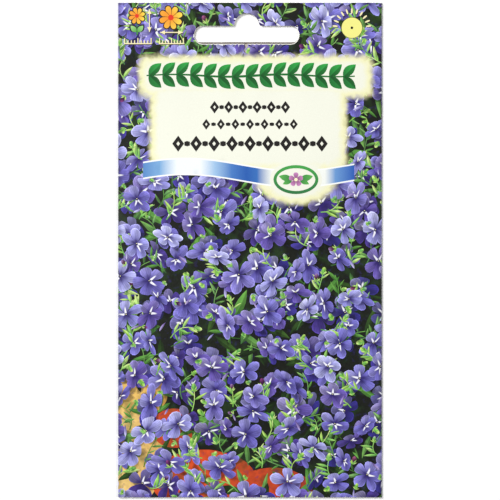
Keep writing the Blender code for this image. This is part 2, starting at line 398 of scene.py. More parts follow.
def addStem(root, reach, curve, colours):
    stations = steps(0, 1, sprig["parts"])
    path = [root + reach * t + 1j * reach * curve * t * (1 - t) * 2 for t in stations]
    outline = stripOutline(path, [sprig["stem"] * (1 - sprig["taper"] * t) for t in stations])
    local = pairs((complex(*point) - root) / reach for point in outline)
    addShape(local, placed(root, reach), *colours, "under")
    return path


def addBud(rng, root, direction, size):
    # a plump bud in its spiky cup
    heading = direction / abs(direction)
    base, tip = pick(rng, leafInks["plum" if rng.random() < bud["plumShare"] else "lime"])
    if rng.random() < bud["tintShare"]:
        tip = mixed(tip, *bud["tint"])
    start, length, slim = bud["cup"]
    addLeaf(rng, root + heading * start, heading * size * length, leafInks["cup"], slim, bend=0.0)
    start, length, width = (heading * size * share for share in bud["body"])
    addShape(discShape, (root + start, length, 1j * width), base, tip, "leaf")
    for turn in bud["spikes"]:
        length = size * rng.uniform(*bud["spikeLength"])
        spike = heading * cmath.rect(length, turn * rng.uniform(*bud["spikeTurn"]))
        addLeaf(rng, root, spike, leafInks["lime"], bud["spikeSlim"], bend=bud["spikeBend"] * turn)


def addSprig(rng, root, reach, inks, share):
    budded = share == 1 or rng.random() < share
    colours = pick(rng, inks)
    path = addStem(root, reach, rng.uniform(-sprig["curve"], sprig["curve"]), colours)
    for point in path[1:-1]:
        turn = rng.choice((-1, 1)) * rng.uniform(*sprig["leafTurn"])
        blade = reach / abs(reach) * cmath.rect(rng.uniform(*sprig["leaf"]), turn)
        addLeaf(rng, point, blade, inks, rng.uniform(*sprig["slim"]))
    if budded:
        addBud(rng, path[-1], path[-1] - path[-2], rng.uniform(*sprig["bud"]))


def drawPlant(rng, root, layer):
    kind = layer["draw"]
    if kind == "blossom":
        # paler towards the top left, where the picture's sun stands
        share, run = picture["shade"]
        shaded = "shaded" in layer and rng.random() < share + (root.real - root.imag) / run
        inks = layer["shaded" if shaded else "inks"]
        addBlossom(rng, root, rng.uniform(*picture["blossomRadius"]), inks, dark=layer["dark"])
    elif kind == "bud":
        addBud(rng, root, cmath.rect(1, rng.uniform(*anyTurn)), rng.uniform(*layer["size"]))
    else:
        reach = cmath.rect(rng.uniform(*layer["reach"]), rng.uniform(*layer["turn"]))
        if kind == "leaf":
            addLeaf(rng, root, reach, layer["inks"], rng.uniform(*layer["slim"]))
        else:
            addSprig(rng, root, reach, layer["inks"], layer["budded"])


def drawPicture():
    rng = random.Random(picture["seed"])
    wide, tall, margin = printEdge, halfHeight, picture["margin"]
    addShape(boxOutline(-wide, -tall, wide, tall), flat, picture["ground"], ink="ground")
    for x, y, halfWide, halfTall, base, tip in picture["warm"]:
        addShape(discOutline(30), (complex(x, y), halfWide, 1j * halfTall), base, tip, "ground")
    whole = (-wide - margin, -tall - margin, wide + margin, tall + margin)
    header = (-wide, panel["boxes"][0][3] - 2, wide, tall)

    def free(point):
        return panelDepth(point.real, point.imag) < panel["clear"]

    for layer in picture["layers"]:
        box, tries = header if "header" in layer else whole, layer.get("tries", picture["tries"])
        for root in scatter(rng, layer["count"], box, free, tries):
            drawPlant(rng, root, layer)


# The plain ornaments and pictograms that are printed over the picture.
garland = {
    "x": (-31.4, 31.8), "y": 52.9, "wave": 0.35, "waves": 12.0, "stem": 0.75, "stemTaper": 0.35,
    "leaves": 15, "start": 0.15, "length": 5.4, "slim": 0.27, "lean": 0.76, "bend": 0.35, "points": 40,
    "lowerShare": 0.35,  # how light the lower leaf of a pair gets beside the upper one
}
rules = {
    "ink": "#1C1817", "slim": 0.37, "hollow": 0.29,
    # a short bar's length over the pitch, its thickness over the row's height, and its taper
    "bar": (0.62, 0.34, 0.7),
    # each row's level, width, count of marks and height
    "rows": [(43.3, 21.5, 11, 3.8), (38.1, 26.5, 13, 3.3), (32.2, 43.5, 17, 4.9)],
}
ribbon = {
    "x": (-32.4, 31.6), "y": 23.4, "sway": 1.9, "crest": 0.2, "length": 1.05,
    "thick": 4.4, "edge": 0.45, "white": "#F2F4F2",
    # it shimmers from blue to white; each stop is how far along and its colour
    "shimmer": [(0.0, "#5585C0"), (0.08, "#7BA9D6"), (0.16, "#EAF0F3"), (0.27, "#ECF1F3"),
                (0.34, "#9BBEE0"), (0.42, "#4577BC"), (0.49, "#275AAA"), (0.54, "#376CB4"),
                (0.61, "#ECEFE9"), (0.86, "#ECEFE9"), (0.91, "#6895CC"), (1.0, "#2859B0")],
}
roundel = {
    "centre": complex(13.9, 21.3), "wide": 6.8, "tall": 4.4,
    # each oval's growth and its colours below and above: the rim, the ring and the field
    "ovals": [(1.1, cream, cream), (0.0, "#2C7040", "#45A04A"), (-0.95, cream, cream)],
    "leaves": [(0.25, 4.2), (-0.45, 3.2)], "leafStart": 1.1, "leafSlim": 0.24,
    "leafInks": ("#2F7A3C", "#5DB052"),
    "petals": 5, "petal": 2.2, "petalSlim": 0.42, "petalInks": ("#7A3C6A", "#C888BC"),
    "eye": 0.55, "eyeInk": "#F3EFC4",
}
pictograms = {
    # each pale mark has a dark twin below it, moved a little
    "dark": "#241B2E", "pale": "#F3E9B4", "twin": 0.22 - 0.22j, "rayTwin": 0.2 - 0.2j,
    "small": complex(-34.3, 71.0), "smallRadius": 2.5, "large": complex(-24.0, 70.5), "largeRadius": 3.6,
    "stem": (5.0, 0.35, "#2C7A2E"), "stemDrop": 3.4j, "leafDrop": 5.1j, "leafTurn": 0.72,
    # each leaf's dark outline, then the leaf: its length, its slimness and its inks
    "leaf": [(3.1, 0.36, "#241B2E", "#241B2E"), (2.6, 0.30, "#4C9A3C", "#A4D88A")], "leafStart": 0.1,
    "petals": 8, "turn": 0.3, "slim": 0.28, "petal": [(0.32, "#33200F"), (0.0, "#EE8A28")],
    "petalTips": ("#F2A236", "#F8DC50"), "heart": (0.24, "#DE3A22"),
    "arrows": [(-30.5 + 69.6j, 3.4j), (-23.8 + 66.0j, 3.4 + 0j)], "shaft": 0.3,
    "head": [(0, 0), (-1.4, 0.66), (-1.4, -0.66)],
    # each scale's left end and width, then how far its rule runs beyond and the rule's thickness
    "scales": [(-38.0 + 62.6j, 8.0), (-27.4 + 62.6j, 7.2)], "rule": (0.4, 0.32),
    "ticks": [1.7, 1.0, 1.0, 1.0, 1.7, 1.0, 1.0, 1.0, 1.7], "tick": 0.3,
    "sun": complex(30.9, 67.4), "discs": [(3.3, "#3A3A22"), (3.12, "#ECE886")], "hub": (0.42, "#1F1A12"),
    "rays": 5.1, "ray": (1.5, 0.55, 0.6), "fan": (0.1, math.pi - 0.1, 10),
}


def drawGarland(place, leafPair, stemInk):
    left, right = garland["x"]

    def along(t):
        rise = garland["wave"] * math.sin(garland["waves"] * t)
        return complex(left + (right - left) * t, garland["y"] + rise)

    widths = [garland["stem"] - garland["stemTaper"] * abs(t) for t in steps(-1, 1, garland["points"])]
    place(stripOutline([along(t) for t in steps(0, 1, garland["points"])], widths), flat, stemInk)
    for i in range(garland["leaves"]):
        root = along((i + garland["start"]) / garland["leaves"])
        for hand, share in ((1, 1.0), (-1, garland["lowerShare"])):
            reach = cmath.rect(garland["length"], hand * garland["lean"])
            place(leafShape, placed(root, reach, hand * garland["slim"]), leafPair[0],
                  mixed(*leafPair, share), "topLeaf", garland["bend"])


def drawRules():
    # rows of lozenges and short bars, a printer's plain ornament
    lozenge = [(-1, 0), (0, -1), (1, 0), (0, 1)]
    for y, width, count, tall in rules["rows"]:
        pitch = width / (count - 1)
        for i in range(count):
            spot = complex(i * pitch - width / 2, y)
            if i % 2:
                length, thick, taper = rules["bar"]
                addShape(barOutline(pitch * length, tall * thick, taper), placed(spot), rules["ink"])
                continue
            for grow, ink in ((1.0, rules["ink"]), (rules["hollow"], cream)):
                addShape(lozenge, (spot, tall * rules["slim"] * grow, 0.5j * tall * grow), ink)


def drawRibbon():
    left, right = ribbon["x"]

    def band(start, end, count, half):
        line = []
        for offset, stretch in ((-half, steps(start, end, count)), (half, steps(end, start, count))):
            for t in stretch:
                sway = ribbon["sway"] * math.cos(2 * math.pi * (t - ribbon["crest"]) / ribbon["length"])
                line.append(complex(left + (right - left) * t, ribbon["y"] + sway + offset))
        return line

    half = ribbon["thick"] / 2
    addShape(pairs(band(0, 1, 28, half + ribbon["edge"])), flat, ribbon["white"])
    for (start, base), (end, tip) in zip(ribbon["shimmer"], ribbon["shimmer"][1:]):
        line = band(start, end, 4, half)
        first, length = line[0].real, line[4].real - line[0].real
        local = [((p.real - first) / length, p.imag) for p in line]
        addShape(local, (complex(first, 0), length, 1j), base, tip)


def drawRoundel():
    # an oval ring, green and darker below, round a small flower between two leaves
    centre = roundel["centre"]
    oval = [((u + 1) / 2, v) for v, u in reversed(discOutline(40))]
    for grow, base, tip in roundel["ovals"]:
        wide, tall = roundel["wide"] + grow, roundel["tall"] + grow
        addShape(oval, (centre - 1j * tall, 2j * tall, wide), base, tip)
    for hand in (1, -1):
        for lean, reach in roundel["leaves"]:
            leaf = hand * cmath.rect(reach, hand * lean)
            place = placed(centre + hand * roundel["leafStart"], leaf, roundel["leafSlim"])
            addShape(leafShape, place, *roundel["leafInks"])
    for k in range(roundel["petals"]):
        heading = cmath.rect(roundel["petal"], math.pi / 2 + k * 2 * math.pi / roundel["petals"])
        addShape(petalShape, placed(centre, heading, roundel["petalSlim"]), *roundel["petalInks"])
    addShape(dotShape, placed(centre, roundel["eye"]), roundel["eyeInk"])


def drawArrow(centre, reach, ink):
    # a thin double arrow
    heading = reach / abs(reach)
    addShape(barOutline(2 * abs(reach), pictograms["shaft"]), placed(centre, heading), ink)
    for turn in (1, -1):
        addShape(pictograms["head"], (centre + turn * reach, turn * heading, 1j * heading), ink)


def drawScale(left, width, ink):
    # a measuring scale with a taller tick at each end and in the middle
    more, thick = pictograms["rule"]
    addShape(barOutline(width + more, thick), placed(left + width / 2), ink)
    ticks = pictograms["ticks"]
    for k, tall in enumerate(ticks):
        spot = left + width * k / (len(ticks) - 1) + 0.5j * tall
        addShape(barOutline(pictograms["tick"], tall), placed(spot), ink)


def drawPictoFlower(centre, radius):
    # each petal lies on its own dark outline; those at the right are yellower
    count = pictograms["petals"]
    for k in range(count):
        heading = cmath.rect(1, pictograms["turn"] + k * 2 * math.pi / count)
        sunny = mixed(*pictograms["petalTips"], 0.5 + 0.5 * heading.real)
        for grow, base in pictograms["petal"]:
            width = pictograms["slim"] * radius + grow
            place = (centre, heading * (radius + grow), 1j * heading * width)
            addShape(petalShape, place, base, base if grow else sunny)
    share, ink = pictograms["heart"]
    addShape(discShape, placed(centre, radius * share), ink)


def drawPictograms():
    small, sun = pictograms["small"], pictograms["sun"]
    length, thick, ink = pictograms["stem"]
    addShape(barOutline(length, thick), (small - pictograms["stemDrop"], 1j, 1), ink)
    for turn in (pictograms["leafTurn"], -pictograms["leafTurn"]):
        for length, slim, base, tip in pictograms["leaf"]:
            reach = 1j * cmath.rect(length, turn)
            root = small - pictograms["leafDrop"] + reach * pictograms["leafStart"]
            addShape(leafShape, placed(root, reach, slim), base, tip)
    drawPictoFlower(small, pictograms["smallRadius"])
    drawPictoFlower(pictograms["large"], pictograms["largeRadius"])
    for ink, shift in ((pictograms["dark"], pictograms["twin"]), (pictograms["pale"], 0)):
        for centre, reach in pictograms["arrows"]:
            drawArrow(centre + shift, reach, ink)
        for left, width in pictograms["scales"]:
            drawScale(left + shift, width, ink)
    for radius, ink in pictograms["discs"]:
        addShape(discOutline(30), placed(sun, radius), ink)
    radius, ink = pictograms["hub"]
    addShape(dotShape, placed(sun, radius), ink)
    for ink, shift in ((pictograms["dark"], pictograms["rayTwin"]), (pictograms["pale"], 0)):
        for angle in steps(*pictograms["fan"]):
            ray = cmath.rect(1, angle)
            spot = sun + shift + ray * pictograms["rays"]
            addShape(barOutline(*pictograms["ray"]), placed(spot, ray), ink)


back = {
    "ground": "#FBFAF1", "spare": 1, "band": "#4E9A4B", "bandReach": (46.5, 59.5),
    "garland": (("#EFF6E0", "#D3E9BC"), "#F4F8E6"),
    # ruled lines where a grower's notes would be
    "ink": "#6B6F6A", "lines": 9, "lineTop": 39.5, "linePitch": 3.1, "lineWidth": 66, "lineThick": 0.28,
    # the sowing calendar: a plain number for each month over three rows of bars, first to last month
    "months": 12, "cell": 5.4, "top": 6.0, "ruled": 0.22, "barGap": 0.9, "barThick": 0.5,
    "figure": 2.4, "capShare": 0.72, "figureInk": "#2E332C",
    "rows": [(1, 3, "#5D8FCB"), (4, 5, "#7DB551"), (5, 9, "#8E82CC")],
    # sprouts at four ages, each on a pale disc
    "sprouts": 4, "sprout": -27 - 33.5j, "sproutPitch": 18, "sproutTall": 4.0, "sproutGrows": 1.7,
    "sproutStem": (0.45, 0.8), "sproutLeaf": (0.5, 0.3),
    "leaves": [(0.75, 0.45), (-0.75, 0.45), (0.5, 0.8), (-0.5, 0.8)],  # the turn and level of each
    "sproutInks": ("#2F8A48", "#6CBB5A"), "disc": 6.2, "discRise": 4.5j, "discInk": "#E4EFD8",
    "seed": 31, "blossoms": 46, "blossomRadius": (3.6, 4.8), "strip": 19, "tries": 14,
}


def drawSprout(foot, tall, base, tip):
    addBoth(barOutline(tall, *back["sproutStem"]), (foot + 0.5j * tall, 1j, 1), base)
    length, slim = back["sproutLeaf"]
    for turn, level in back["leaves"]:
        reach = 1j * cmath.rect(tall * length, turn)
        addBoth(leafShape, placed(foot + 1j * tall * level, reach, slim), base, tip)


def printNumber(text, centre, height, colour):
    # Blender's own plain figures, turned to flat ink
    curve = bpy.data.curves.new("figure", "FONT")
    curve.body, curve.size, curve.resolution_u = text, height / back["capShare"], 2
    curve.align_x, curve.align_y = "CENTER", "CENTER"
    holder = bpy.data.objects.new("figure", curve)
    mesh = holder.to_mesh()
    for face in mesh.polygons:
        addBoth([tuple(mesh.vertices[i].co[:2]) for i in face.vertices], placed(centre), colour)
    holder.to_mesh_clear()
    bpy.data.objects.remove(holder)
    bpy.data.curves.remove(curve)


def drawBack():
    tall, half = halfHeight, sheet["width"] / 2
    for low, high, ink in ((-tall, tall, back["ground"]), (*back["bandReach"], back["band"])):
        addBoth(boxOutline(-half - back["spare"], low, half + back["spare"], high), flat, ink)
    drawGarland(addBoth, *back["garland"])
    for k in range(back["lines"]):
        level = 1j * (back["lineTop"] - back["linePitch"] * k)
        addBoth(barOutline(back["lineWidth"], back["lineThick"]), placed(level), back["ink"])

    months, rows, cell = back["months"], len(back["rows"]) + 1, back["cell"]
    left, top = -months * cell / 2, back["top"]
    for k in range(months + 1):
        middle = complex(left + k * cell, top - rows * cell / 2)
        addBoth(barOutline(back["ruled"], rows * cell), placed(middle), back["ink"])
    for k in range(rows + 1):
        addBoth(barOutline(months * cell, back["ruled"]), placed(complex(0, top - k * cell)), back["ink"])
    for k in range(months):
        centre = complex(left + (k + 0.5) * cell, top - 0.5 * cell)
        printNumber(str(k + 1), centre, back["figure"], back["figureInk"])
    for row, (first, last, ink) in enumerate(back["rows"]):
        middle = complex(left + (first + last + 1) / 2 * cell, top - (row + 1.5) * cell)
        length = (last - first + 1) * cell - back["barGap"]
        addBoth(barOutline(length, cell * back["barThick"]), placed(middle), ink)

    for k in range(back["sprouts"]):
        foot = back["sprout"] + back["sproutPitch"] * k
        addBoth(discOutline(24), placed(foot + back["discRise"], back["disc"]), back["discInk"])
        drawSprout(foot, back["sproutTall"] + back["sproutGrows"] * k, *back["sproutInks"])
    rng = random.Random(back["seed"])
    strip = (-half, -tall - 2, half, -tall + back["strip"])
    for centre in scatter(rng, back["blossoms"], strip, lambda point: True, back["tries"]):
        radius = rng.uniform(*back["blossomRadius"])
        addBlossom(rng, centre, radius, petalInks["mid"] + petalInks["front"], "back")


def slotOutline(drop, tear=0.0):
    # two round ends, and a hump between two fillets in the roof
    end, hump, fillet = slot["arm"] / 2, slot["hump"], slot["fillet"]
    left, right = slot["x"] - slot["width"] / 2 + end, slot["x"] + slot["width"] / 2 - end
    floor = halfHeight - slot["drop"] - drop
    roof = floor + drop + slot["arm"]
    tall, middle = (roof - floor) / 2, (roof + floor) / 2
    foot = math.sqrt((hump + fillet) ** 2 - fillet ** 2)
    meet = math.atan2(fillet, foot)
    quarter = math.pi / 2
    # each arc's middle, half its width and height, its first and last angle, and its steps
    arcs = [(right, middle, end, tall, -quarter, quarter, 8),
            (slot["x"] + foot, roof + fillet, fillet, fillet, -quarter, -math.pi + meet, 3),
            (slot["x"], roof, hump, hump, meet, math.pi - meet, 12),
            (slot["x"] - foot, roof + fillet, fillet, fillet, -meet, -quarter, 3),
            (left, middle, end, tall, quarter, 3 * quarter, 8)]
    points = []
    for x, y, wide, high, start, stop, count in arcs:
        for angle in steps(start, stop, count):
            point = complex(x + wide * math.cos(angle), y + high * math.sin(angle))
            if not points or abs(point - points[-1]) > sheet["weld"]:
                points.append(point)
    fast, slow = slot["floorWaves"]
    for k, x in enumerate(steps(left, right, slot["floorPoints"])[1:-1]):
        points.append(complex(x, floor + tear * math.sin(fast * k) * math.sin(slow * k)))
    return points


def drawTornEdge():
    # below the slot's floor the film is torn off the white paper, with a short split in the middle
    torn = slotOutline(slot["slip"] + slot["torn"], slot["tornSwing"])
    addShape(pairs(torn), flat, slot["paper"])
    x, length = slot["split"]
    top = halfHeight - slot["drop"] - slot["slip"]
    crook, turns = slot["splitPath"]
    mean, waves = slot["splitSwing"]
    stations = steps(0, 1, 8)
    for shift, width, ink in slot["splitInks"]:
        path = [complex(x + shift + crook * math.sin(turns * t), top - length * t) for t in stations]
        widths = [width * (1.05 - t * t) * (mean + math.sin(waves * t)) for t in stations]
        addShape(stripOutline(path, widths), flat, ink)


def swelling(x, y):
    low, high = y + halfHeight - sheet["foot"], halfHeight - sheet["header"] - y

    def pillow(run):
        across = np.maximum(1 - np.abs(x / foldX) ** sheet["swellPower"], 0)
        return across * smooth(low / run) * smooth(high / run)

    nearSeal = sum(np.exp(-np.maximum(gap, 0) / sheet["puckerFade"]) for gap in (low, high))
    rate, stray, slow = sheet["puckerRate"]
    waves = np.sin(rate * x + stray * np.sin(slow * x)) * nearSeal
    creep = np.prod([np.sin(across * x + along * y) for across, along in sheet["creep"]], axis=0)
    puckers = sheet["pucker"] * (waves + creep - sheet["settle"]) * pillow(sheet["puckerRun"]) ** 2
    return sheet["swell"] * pillow(sheet["swellRun"]) + puckers


def fold(points, inner):
    # where points of the flat blank come to lie on the outer or the inner face, in metres
    s, y = points.real, points.imag
    reach, hand = np.abs(s), np.sign(s)
    depth = sheet["paper"] if inner else 0.0
    turn = np.clip((reach - foldX) / foldArc, 0, 1) * math.pi
    radius = foldOuter - depth
    xBack = hand * (backMiddle - reach)
    # the left panel's flap climbs over the right one
    jogEnd = -sheet["lap"] / 2 - sheet["jogClear"]
    climb = (sheet["paper"] + sheet["bond"]) * smooth((xBack - jogEnd + sheet["jog"]) / sheet["jog"])
    lift = np.where(s < 0, climb, 0.0)
    panels = [reach < foldX, reach >= backStart]
    x = np.select(panels, [s, xBack], hand * (foldX + radius * np.sin(turn)))
    top = frontTop - depth + swelling(s, y)
    z = np.select(panels, [top, lift + depth], foldOuter + radius * np.cos(turn))
    return np.stack([x, y, z], axis=1) * mm


hull, inside = 0, 1  # what a triangulation keeps: all of it, or what lies inside the outlines


def triangulate(outlines, lines, dots, kind):
    # Blender's own triangulation, its points as complex numbers
    corners, edges, faces = [], [], []
    for outline in outlines:
        faces.append(list(range(len(corners), len(corners) + len(outline))))
        corners += outline
    for start, end in lines:
        edges.append((len(corners), len(corners) + 1))
        corners += [start, end]
    flatCorners = [Vector((p.real, p.imag)) for p in corners + dots]
    made, *told = delaunay_2d_cdt(flatCorners, edges, faces, kind, sheet["weld"], True)
    return np.array([complex(*corner) for corner in made]), *told


def gridDots(step):
    # the front panel's own points, every second row shifted
    columns, rows = round(2 * foldX / step), round(2 * halfHeight / step)
    dots = []
    for j, y in enumerate(steps(-halfHeight, halfHeight, rows)[1:-1]):
        shift = 0.25 * step * (1 if j % 2 else -1)
        dots += [complex(x + shift, y) for x in steps(-foldX, foldX, columns)[1:-1]]
    return dots


def foldLines():
    # creases and the flap's step need points of their own
    jogStart = backMiddle - sheet["lap"] / 2 - sheet["jogClear"] - sheet["jog"]
    stations = [-(jogStart + sheet["jog"] * t) for t in steps(0, 1, 4)]
    for hand in (-1, 1):
        stations += [hand * (foldX + foldArc * t) for t in steps(0, 1, 8)]
    levels = steps(-halfHeight, halfHeight, round(2 * halfHeight / sheet["gridStep"]))
    return [(complex(s, low), complex(s, high)) for s in stations for low, high in zip(levels, levels[1:])]


def topInks(points, faces, covers, inked):
    # the topmost ink of each face and what the shadows leave of its light; none off the sheet
    inks = []
    for face, cover in zip(faces, covers):
        if 0 not in cover or max(cover) >= len(inked):
            inks.append(None)
            continue
        side = "front" if abs(points[face].real.mean()) < printEdge else "back"
        light = 1.0
        for number in sorted(cover, reverse=True):
            shape = inked[number]
            if shape["side"] not in (side, "both"):
                continue
            if shape["ink"] != "shadow":
                break
            light *= 1 - shape["dark"]
        inks.append((number, light))
    return inks


def inkEdges(points, faces, inks):
    # only the edges where the print changes, with fewer points where they run straight
    beside = {}
    for face, ink in zip(faces, inks):
        for a, b in zip(face, face[1:] + face[:1]):
            beside.setdefault((min(a, b), max(a, b)), []).append(ink)
    joined = {}
    for (a, b), found in beside.items():
        if len(found) == 1 or found[0] != found[1]:
            joined.setdefault(a, []).append(b)
            joined.setdefault(b, []).append(a)
    for middle in list(joined):
        ends = joined[middle]
        if len(ends) != 2 or ends[0] in joined[ends[1]]:
            continue
        first, last = points[ends[0]], points[ends[1]]
        chord, offset = last - first, points[middle] - first
        ahead = (chord.conjugate() * offset).real > 0
        if ahead and abs(cross(chord, offset)) < sheet["straight"] * abs(chord):
            for one, other in (ends, ends[::-1]):
                joined[one][joined[one].index(middle)] = other
            del joined[middle]
    return [(points[a], points[b]) for a, near in joined.items() for b in near if a < b]


def motifPlaces(points, triangles, inked, top, shade):
    # each corner's ink and its place in the motif it shows, for the shader
    def shown(value):
        return np.array([value(shape) for shape in inked])[top]

    origin, along, across = (shown(lambda shape: complex(shape["place"][k]))[:, None] for k in range(3))
    bend = shown(lambda shape: shape["bend"])[:, None]
    reach, area = points[triangles] - origin, cross(along, across)
    u = cross(reach, across) / area
    v = cross(along, reach) / area - bend * u * (1 - u)
    base, tip = (shown(lambda shape: shape[end])[:, None, :] for end in ("base", "tip"))
    ink = (base + (tip - base) * np.clip(u, 0, 1)[:, :, None]) * shade[:, None, None]
    kind = np.repeat(shown(lambda shape: float(inkKinds[shape["ink"]]))[:, None], 3, axis=1)
    return ink, np.stack([u, v, kind], axis=2)


def rimEdges(triangles):
    # the edges that only one triangle has, in that triangle's direction
    directed = {}
    for a, b, c in triangles:
        for start, end in ((a, b), (b, c), (c, a)):
            if (end, start) in directed:
                del directed[(end, start)]
            else:
                directed[(start, end)] = True
    return list(directed)


# the bake map: the bare inside is small above the print, and the cut edges lie in a strip beside it
bakeMap = {"inner": 0.12, "innerPlace": (0.002, 0.88), "edgePlace": (0.14, 0.90), "edgeSize": (0.85, 0.02)}


def layMaps(mesh, flatPoints, printed, bare):
    # the blank lies flat in its own map, and in the bake map to scale
    loops = len(mesh.loops)
    vertexOf = np.zeros(loops, dtype=int)
    mesh.loops.foreach_get("vertex_index", vertexOf)
    blank = np.stack([flatPoints.real, flatPoints.imag], axis=1)[vertexOf]
    mesh.uv_layers.new(name="blank").data.foreach_set("uv", blank.ravel())
    unit = (blank + (blankHalf, halfHeight)) / (2 * blankHalf)
    unit[printed:] = unit[printed:] * bakeMap["inner"] + bakeMap["innerPlace"]
    walls = (loops - printed - bare) // 4
    corners = np.tile(np.array([[0, 0], [1, 0], [1, 1], [0, 1]]), (walls, 1))
    across = (np.repeat(np.arange(walls), 4) + corners[:, 0]) / walls
    strip = np.stack([across, corners[:, 1]], axis=1)
    unit[printed + bare:] = strip * bakeMap["edgeSize"] + bakeMap["edgePlace"]
    mesh.uv_layers.new(name="OFBake").data.foreach_set("uv", unit.ravel())


def addObject(name, data):
    made = bpy.data.objects.new(name, data)
    bpy.context.scene.collection.objects.link(made)
    return made


def buildSheet():
    # the print's outlines and the holes cut the blank; each part of it shows its topmost ink
    inked = [shape for shape in shapes if shape["ink"] != "hole"]
    holes = [shape["points"] for shape in shapes if shape["ink"] == "hole"]
    outlines = [shape["points"] for shape in inked] + holes
    points, _, faces, _, _, covers = triangulate(outlines, [], [], inside)
    inks = topInks(points, faces, covers, inked)
    laid = BVHTree.FromPolygons([(point.real, point.imag, 0.0) for point in points], faces)
    edges = inkEdges(points, faces, inks)
    print("print laid out:", len(inked), "shapes,", len(edges), "edges that show")

    def inkAt(point):
        # the print right below a point, and none where the blank is cut away
        index = laid.ray_cast(Vector((point.real, point.imag, 1.0)), Vector((0, 0, -1)))[2]
        return None if index is None else inks[index]

    # the same print again without what is hidden, and with points that carry the swelling
    points, _, faces, _, _, _ = triangulate([], edges + foldLines(), gridDots(sheet["gridStep"]), hull)
    triangles, top, shade = [], [], []
    for face in faces:
        found = inkAt(points[face].mean())
        if found:
            triangles.append(face)
            top.append(found[0])
            shade.append(found[1])
    triangles, top, shade = np.array(triangles), np.array(top), np.array(shade)
    print("outer face:", len(triangles), "triangles")
    ink, place = motifPlaces(points, triangles, inked, top, shade)

    # a coarser inner face from the same boundary points, and a wall between the two
    rim = rimEdges(triangles)
    lines = [(complex(points[a]), complex(points[b])) for a, b in rim] + foldLines()
    dots = gridDots(sheet["innerStep"])
    innerPoints, _, innerFaces, origins, _, _ = triangulate([], lines, dots, hull)
    innerOf = {old: made for made, olds in enumerate(origins) for old in olds}
    kept = [face for face in innerFaces if inkAt(innerPoints[face].mean())]
    print("sheet folded:", len(rim), "rim edges,", len(kept), "inner triangles")

    count = len(points)
    polygons = list(triangles) + [[i + count for i in reversed(face)] for face in kept]
    for k, (a, b) in enumerate(rim):
        polygons.append([b, a, innerOf[2 * k] + count, innerOf[2 * k + 1] + count])
    # corners of what was trimmed away are left out
    flatAll = np.concatenate([points, innerPoints])
    vertices = np.concatenate([fold(points, False), fold(innerPoints, True)])
    used = np.unique(np.concatenate(polygons))
    newIndex = np.zeros(len(flatAll), dtype=int)
    newIndex[used] = np.arange(len(used))
    mesh = bpy.data.meshes.new("packetSheet")
    mesh.from_pydata(vertices[used].tolist(), [], [newIndex[face].tolist() for face in polygons])

    loops, printed = len(mesh.loops), 3 * len(triangles)
    inkOf, placeOf = np.ones((loops, 4)), np.zeros((loops, 3))
    inkOf[:printed, :3], placeOf[:printed] = ink.reshape(-1, 3), place.reshape(-1, 3)
    mesh.attributes.new("ink", "FLOAT_COLOR", "CORNER").data.foreach_set("color", inkOf.ravel())
    mesh.attributes.new("place", "FLOAT_VECTOR", "CORNER").data.foreach_set("vector", placeOf.ravel())
    layMaps(mesh, flatAll[used], printed, 3 * len(kept))
    slots = np.zeros(len(mesh.polygons), dtype=int)
    slots[len(triangles):] = 1
    mesh.materials.append(laminatedPrint())
    mesh.materials.append(plainMaterial("uncoated_white_pulp_paper"))
    mesh.polygons.foreach_set("material_index", slots)
    mesh.polygons.foreach_set("use_smooth", np.ones(len(mesh.polygons), dtype=bool))
    mesh.validate()
    mesh.set_sharp_from_angle(angle=math.radians(sheet["sharp"]))
    return addObject("packet_sheet", mesh)


def addNode(tree, kind, sockets=(), operation=None, out=0, **settings):
    # sockets by order or by name: another node's output is linked, a hex colour made linear
    made = tree.nodes.new("ShaderNode" + kind)
    if operation:
        made.operation = operation
    for name, value in settings.items():
        setattr(made, name, value)
    for name, value in sockets.items() if isinstance(sockets, dict) else enumerate(sockets):
        if isinstance(value, bpy.types.NodeSocket):
            tree.links.new(value, made.inputs[name])
        else:
            made.inputs[name].default_value = (*linear(value), 1) if isinstance(value, str) else value
    return made.outputs[out] if made.outputs else None


def newMaterial(name):
    # a material, and addNode for its own tree
    material = bpy.data.materials.new(name)
    material.use_nodes = True
    material.node_tree.nodes.clear()
    return material, partial(addNode, material.node_tree)


soft, even = "SMOOTHSTEP", "LINEAR"
eased = {"interpolation_type": soft}

# Patterns over the blank: size in millimetres and detail, then the range of noise that is spread
# out, and what it is spread to.
printPatterns = {
    "greens": (5.5, 2.0, soft, 0.46, 0.68, 0.0, 0.50),  # blurred leaves far behind the plants
    "violets": (1.7, 2.0, soft, 0.55, 0.72, 0.0, 0.40),  # blurred blossoms among them
    "grain": (1.5, 4.0, even, 0.3, 0.7, 0.80, 1.20),  # the picture's own, which flat marks lack
    "ragged": (2.2, 3.0, even, 0.3, 0.7, -0.45, 0.45),  # the panel's edge, in millimetres
    "mottle": (0.6, 3.0, even, 0.0, 1.0, 0.965, 1.035),  # uneven ink film
    "rubbed": (0.45, 4.0, soft, 0.60, 0.72, 0.0, 0.18),  # ink rubbed thin along the creases
}
